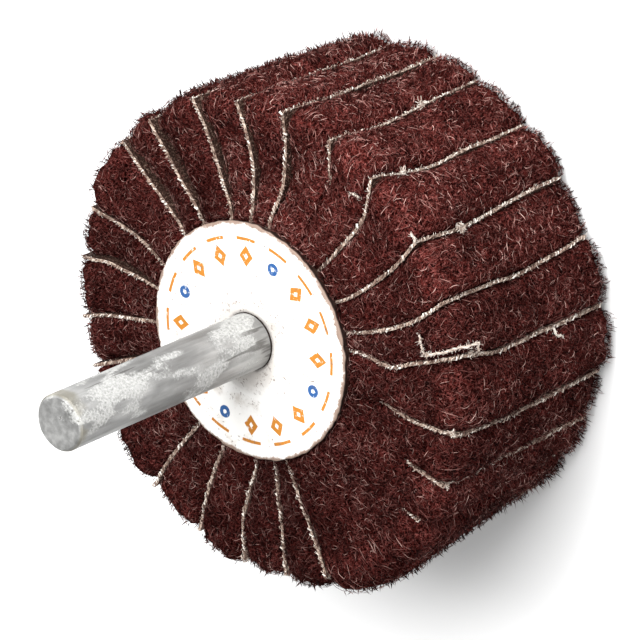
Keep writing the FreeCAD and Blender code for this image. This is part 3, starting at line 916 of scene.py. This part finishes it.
def cloth_sheet(flap, grit, backing):
    """One abrasive cloth flap, coated on its side towards the flap before it."""
    tip = cloth_tip(flap)
    radii = np.concatenate([[8.6, NOTCH_RADIUS - 0.05], np.linspace(NOTCH_RADIUS, tip, 18)])
    notched = radii < NOTCH_RADIUS - 0.01
    rear = np.where(notched, FLAP_REAR + NOTCH_DEPTH, cloth_rear(radii))
    front = np.where(notched, FLAP_FRONT - NOTCH_DEPTH, cloth_front(flap, radii))
    shares = np.linspace(0, 1, 20)
    share, radius = np.meshgrid(shares, radii, indexing="ij")
    height = rear[None] * (1 - share) + front[None] * share
    middle = at(radius, cloth_angle(flap, radius, height), height)
    normal = cloth_normal(flap, radius, height)
    middle = waved(flap, middle, radius, normal)
    low = middle - normal * CLOTH_THICKNESS / 2
    high = middle + normal * CLOTH_THICKNESS / 2
    loops = np.concatenate([low, high[:, ::-1]], axis=1)
    rows, around = loops.shape[:2]
    rings = np.arange(rows * around).reshape(rows, around)
    walls = ring_walls(rings)
    half = around // 2
    caps = []
    for ring in (rings[0], rings[-1]):
        back = ring[::-1]
        caps.append(np.stack([ring[:half - 1], ring[1:half], back[1:half], back[:half - 1]], axis=-1))
    name = "cloth_sheet_%02d" % (flap + 1)
    faces = np.concatenate([walls] + caps)
    piece = new_piece(name, loops.reshape(-1, 3), [faces], [backing, grit], smooth=False)
    column = np.tile(np.arange(around), rows - 1)
    slots = np.zeros(len(faces), np.int32)
    slots[:len(walls)] = column < half - 1
    piece.data.polygons.foreach_set("material_index", slots)
    face_outwards(piece)
    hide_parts("cloth_flap_%02d" % (flap + 1))


def cloth_edge(flap, spacing):
    """Points along a cloth flap's free edges, with their outward and edgewise directions and normals."""
    tip = cloth_tip(flap)
    radii = np.arange(FLANGE_RADIUS + 0.1, tip, spacing)
    heights = np.arange(float(cloth_rear(tip)), float(cloth_front(flap, tip)), spacing)
    radius = np.concatenate([radii, np.full(len(heights), tip), radii])
    height = np.concatenate([cloth_front(flap, radii), heights, cloth_rear(radii)])
    out_r = np.concatenate([0 * radii, 0 * heights + 1, 0 * radii])
    out_z = np.concatenate([0 * radii + 1, 0 * heights, 0 * radii - 1])
    angle = cloth_angle(flap, radius, height)
    points = at(radius, angle, height)
    normal = cloth_normal(flap, radius, height)
    points = waved(flap, points, radius, normal)
    outward = at(out_r, angle, out_z)
    edgewise = unit(np.cross(normal, outward))
    return points, outward, edgewise, normal


def wrapped_yarns(flap, random):
    """Short yarns that wrap a cloth flap's edges: close at the rim, with gaps at the sides."""
    points, outward, edgewise, normal = cloth_edge(flap, 0.34)
    worn = rough(points, 1.1, flap + 400)
    flat = np.abs(outward[:, 2]) > 0.5
    kept = ~flat | (random.random(len(points)) < 0.72)
    parts = (points, outward, edgewise, normal, worn, flat)
    points, outward, edgewise, normal, worn, flat = (part[kept] for part in parts)
    count = len(points)
    slant = random.normal(0.22, 0.09, count)[:, None]
    across = random.normal(0.13, 0.05, count)[:, None]
    lift = (0.03 + 0.19 * random.random(count))[:, None]
    base = points + outward * random.normal(0, 0.06, count)[:, None]
    base = base + normal * random.normal(0, 0.05, count)[:, None]
    lines = np.stack([
        base - edgewise * slant - normal * across - outward * 0.15,
        base - edgewise * slant * 0.4 - normal * across * 0.7 + outward * lift,
        base + edgewise * slant * 0.4 + normal * across * 0.7 + outward * lift,
        base + edgewise * slant + normal * across - outward * 0.15,
    ], axis=1)
    tones = np.clip(random.normal(0.5, 0.36, count) + 0.5 * worn + 0.1 * flat, 0, 1)
    thick = 1 + 0.7 * flat * (random.random(count) < 0.35)
    return strand_mesh(lines, random.uniform(0.05, 0.105, count) * thick, tones, random)


def frayed_hairs(flap, random):
    """Fine loose hairs along a cloth flap's edges."""
    points, outward = cloth_edge(flap, 0.32)[:2]
    count = len(points)
    lengths = random.uniform(0.2, 0.6, count)
    rise = random.uniform(-0.3, 0.7, count)
    curl = random.normal(0, 0.7, count)
    lines = curled_lines(points + outward * 0.1, outward, lengths, rise, curl, random, 4)
    tones = np.clip(random.normal(0.62, 0.2, count), 0, 1)
    return strand_mesh(lines, random.uniform(0.018, 0.034, count), tones, random)


def tangle(centre, size, random):
    """A little knot of loose threads."""
    count = int(60 * size)
    roots = centre + random.normal(0, 0.2 * size, (count, 3))
    axes = unit(random.normal(size=(count, 3)))
    lengths = random.uniform(0.5, 1.1, count) * size
    rise = random.uniform(-1.2, 1.2, count)
    curl = random.normal(0, 0.9, count)
    lines = curled_lines(roots, axes, lengths, rise, curl, random)
    return strand_mesh(lines, random.uniform(0.03, 0.055, count), random.uniform(0.4, 1.0, count), random)


def loose_yarn(route, random):
    """A loose yarn of three plies along a route of (radius, angle in degrees, height)."""
    corners = np.array([at(radius, math.radians(angle), height) for radius, angle, height in route])
    lengths = np.concatenate([[0], np.cumsum(np.linalg.norm(np.diff(corners, axis=0), axis=1))])
    places = np.linspace(0, lengths[-1], max(4, int(lengths[-1] / 0.2)))
    line = np.stack([np.interp(places, lengths, corners[:, i]) for i in range(3)], axis=1)
    wander = np.stack([rough(line, 0.9, seed) for seed in (601, 602, 603)], axis=1)
    line = line + 0.16 * wander + random.normal(0, 0.03, line.shape)
    tangent = unit(np.gradient(line, axis=0))
    side = unit(np.cross(tangent, (0.3, 0.2, 1)))
    up = np.cross(tangent, side)
    plies = []
    for ply in range(3):
        turn = 2 * math.pi * (ply / 3 + places / 0.9)
        plies.append(line + 0.085 * (side * np.cos(turn)[:, None] + up * np.sin(turn)[:, None]))
    groups = [strand_mesh(np.stack(plies), np.full(3, 0.085), random.uniform(0.5, 0.95, 3), random)]
    roots = np.repeat(line, 3, axis=0) + random.normal(0, 0.08, (3 * len(line), 3))
    count = len(roots)
    axes = unit(random.normal(size=(count, 3)))
    lengths = random.uniform(0.3, 0.7, count)
    curl = random.normal(0, 0.8, count)
    hairs = curled_lines(roots, axes, lengths, np.zeros(count), curl, random, 4)
    groups.append(strand_mesh(hairs, np.full(count, 0.025), random.uniform(0.5, 1.0, count), random))
    return joined_strands(groups)


def edge_threads(flap, material):
    """Yarn ends, frayed hairs, knots and loose yarns at a cloth flap's edges."""
    random = np.random.default_rng(500 + flap)
    groups = [wrapped_yarns(flap, random), frayed_hairs(flap, random)]
    for radius, angle, height, size in KNOTS.get(flap, []):
        groups.append(tangle(at(radius, math.radians(angle), height), size, random))
    for route in LOOSE_YARNS.get(flap, []):
        groups.append(loose_yarn(route, random))
    points, faces, tones = joined_strands(groups)
    points[:, 2] = np.maximum(points[:, 2], LEAST_HEIGHT)
    piece = new_piece("cloth_threads_%02d" % (flap + 1), points, [faces], [material])
    set_tone(piece, tones)


def label_card(material):
    """The card label: uneven at its rim and pressed down round the shank."""
    inner = [LABEL_HOLE, 3.5, 4.5, 5.6, 6.0, 6.4, 7.2, 8.5, 10, 11.3, 12.0, 12.4]
    radii = np.array(inner + [LABEL_RADIUS - 0.12, LABEL_RADIUS])
    angles = np.linspace(0, 2 * math.pi, 240, endpoint=False)
    radius, angle = np.meshgrid(radii, angles, indexing="ij")
    round_rim = at(0 * angle + 12.0, angle, 0 * angle)
    ragged = 0.14 * rough(round_rim, 1.6, 301) + 0.12 * rough(round_rim, 0.55, 303)
    torn = 0.10 * rough(at(0 * angle + 3.0, angle, 0 * angle), 0.5, 304)
    rimward, holeward = np.clip((radius - 11.5) / 1.2, 0, 1), np.clip(4 - radius, 0, 1)
    radius = radius + ragged * rimward + np.abs(torn) * holeward
    dish = 0.12 * np.clip((6.4 - radius) / 0.8, 0, 1)
    swell = 0.08 * rough(at(radius, angle, 0 * radius), 5.0, 302)
    height = LABEL_FRONT - 0.02 - dish + swell
    height[-1] -= 0.12
    top = at(radius, angle, height)
    bottom = at(radius[[-1, 0]], angle[[-1, 0]], np.full((2, len(angles)), LABEL_REAR))
    loops = np.concatenate([top, bottom])
    rows, around = loops.shape[:2]
    rings = np.arange(rows * around).reshape(rows, around)
    below = np.roll(rings, -1, axis=0)
    faces = np.stack([rings, below, np.roll(below, -1, axis=1), np.roll(rings, -1, axis=1)], axis=-1)
    piece = new_piece("label_face", loops.reshape(-1, 3), [faces.reshape(-1, 4)], [material])
    face_outwards(piece)
    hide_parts("label_disc")


def add_camera():
    """The camera at the photo's viewing angle, rolled as the picture is."""
    ct, st = math.cos(VIEW_TILT), math.sin(VIEW_TILT)
    cr, sr = math.cos(VIEW_ROLL), math.sin(VIEW_ROLL)
    turn = Matrix.Rotation(VIEW_TURN, 3, "Z")
    right = turn @ Vector((-sr, -st * cr, -ct * cr))
    up = turn @ Vector((cr, -st * sr, -ct * sr))
    back = turn @ Vector((0, -ct, st))
    place = Vector((0, 0, LABEL_FRONT)) + back * VIEW_DISTANCE
    place -= right * LABEL_IN_VIEW[0] + up * LABEL_IN_VIEW[1]
    data = bpy.data.cameras.new("view")
    data.lens = VIEW_LENS
    camera = bpy.data.objects.new("view", data)
    pose = Matrix((right, up, back)).transposed().to_4x4()
    camera.matrix_world = Matrix.Translation(place * MILLIMETRE) @ pose
    bpy.context.scene.collection.objects.link(camera)
    bpy.context.scene.camera = camera


def add_light(name, azimuth, elevation, distance, size, power):
    """A soft square lamp aimed at the wheel; angles in degrees."""
    data = bpy.data.lights.new(name, "AREA")
    data.size = size
    data.energy = power
    lamp = bpy.data.objects.new(name, data)
    a, e = math.radians(azimuth), math.radians(elevation)
    direction = Vector((math.cos(a) * math.cos(e), math.sin(a) * math.cos(e), math.sin(e)))
    lamp.location = direction * distance
    lamp.rotation_euler = direction.to_track_quat("Z", "Y").to_euler()
    bpy.context.scene.collection.objects.link(lamp)


def add_surroundings():
    """A white floor, an even white sky and soft lamps."""
    bpy.ops.mesh.primitive_plane_add(size=12)
    floor = bpy.context.object
    floor.name = "floor"
    n = Nodes("floor_white")
    floor.data.materials.append(n.finish((0.6, 0.6, 0.6, 1), 0.9, specular=0.1))
    world = bpy.data.worlds.new("sky")
    bpy.context.scene.world = world
    world.use_nodes = True
    world.node_tree.nodes["Background"].inputs["Color"].default_value = (1, 1, 1, 1)
    world.node_tree.nodes["Background"].inputs["Strength"].default_value = 0.40
    add_light("key", 308, 58, 1.2, 0.8, 33)
    add_light("low", 322, 24, 1.2, 0.5, 10)
    add_light("front", 225, 35, 1.4, 0.8, 11)
    bpy.context.scene.view_settings.view_transform = "Standard"


web = web_material()
fibre = fibre_material()
backing = backing_material()
thread = thread_material()
grit = grit_material()
for index in range(FLAP_COUNT):
    web_leaf(index, web)
    web_fibres(index, fibre)
    cloth_sheet(index, grit, backing)
    edge_threads(index, thread)
label_card(card_material())
for node, material in (("shank", steel_material()), ("resin_core", resin_material())):
    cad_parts[node].data.materials.clear()
    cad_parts[node].data.materials.append(material)
add_camera()
add_surroundings()
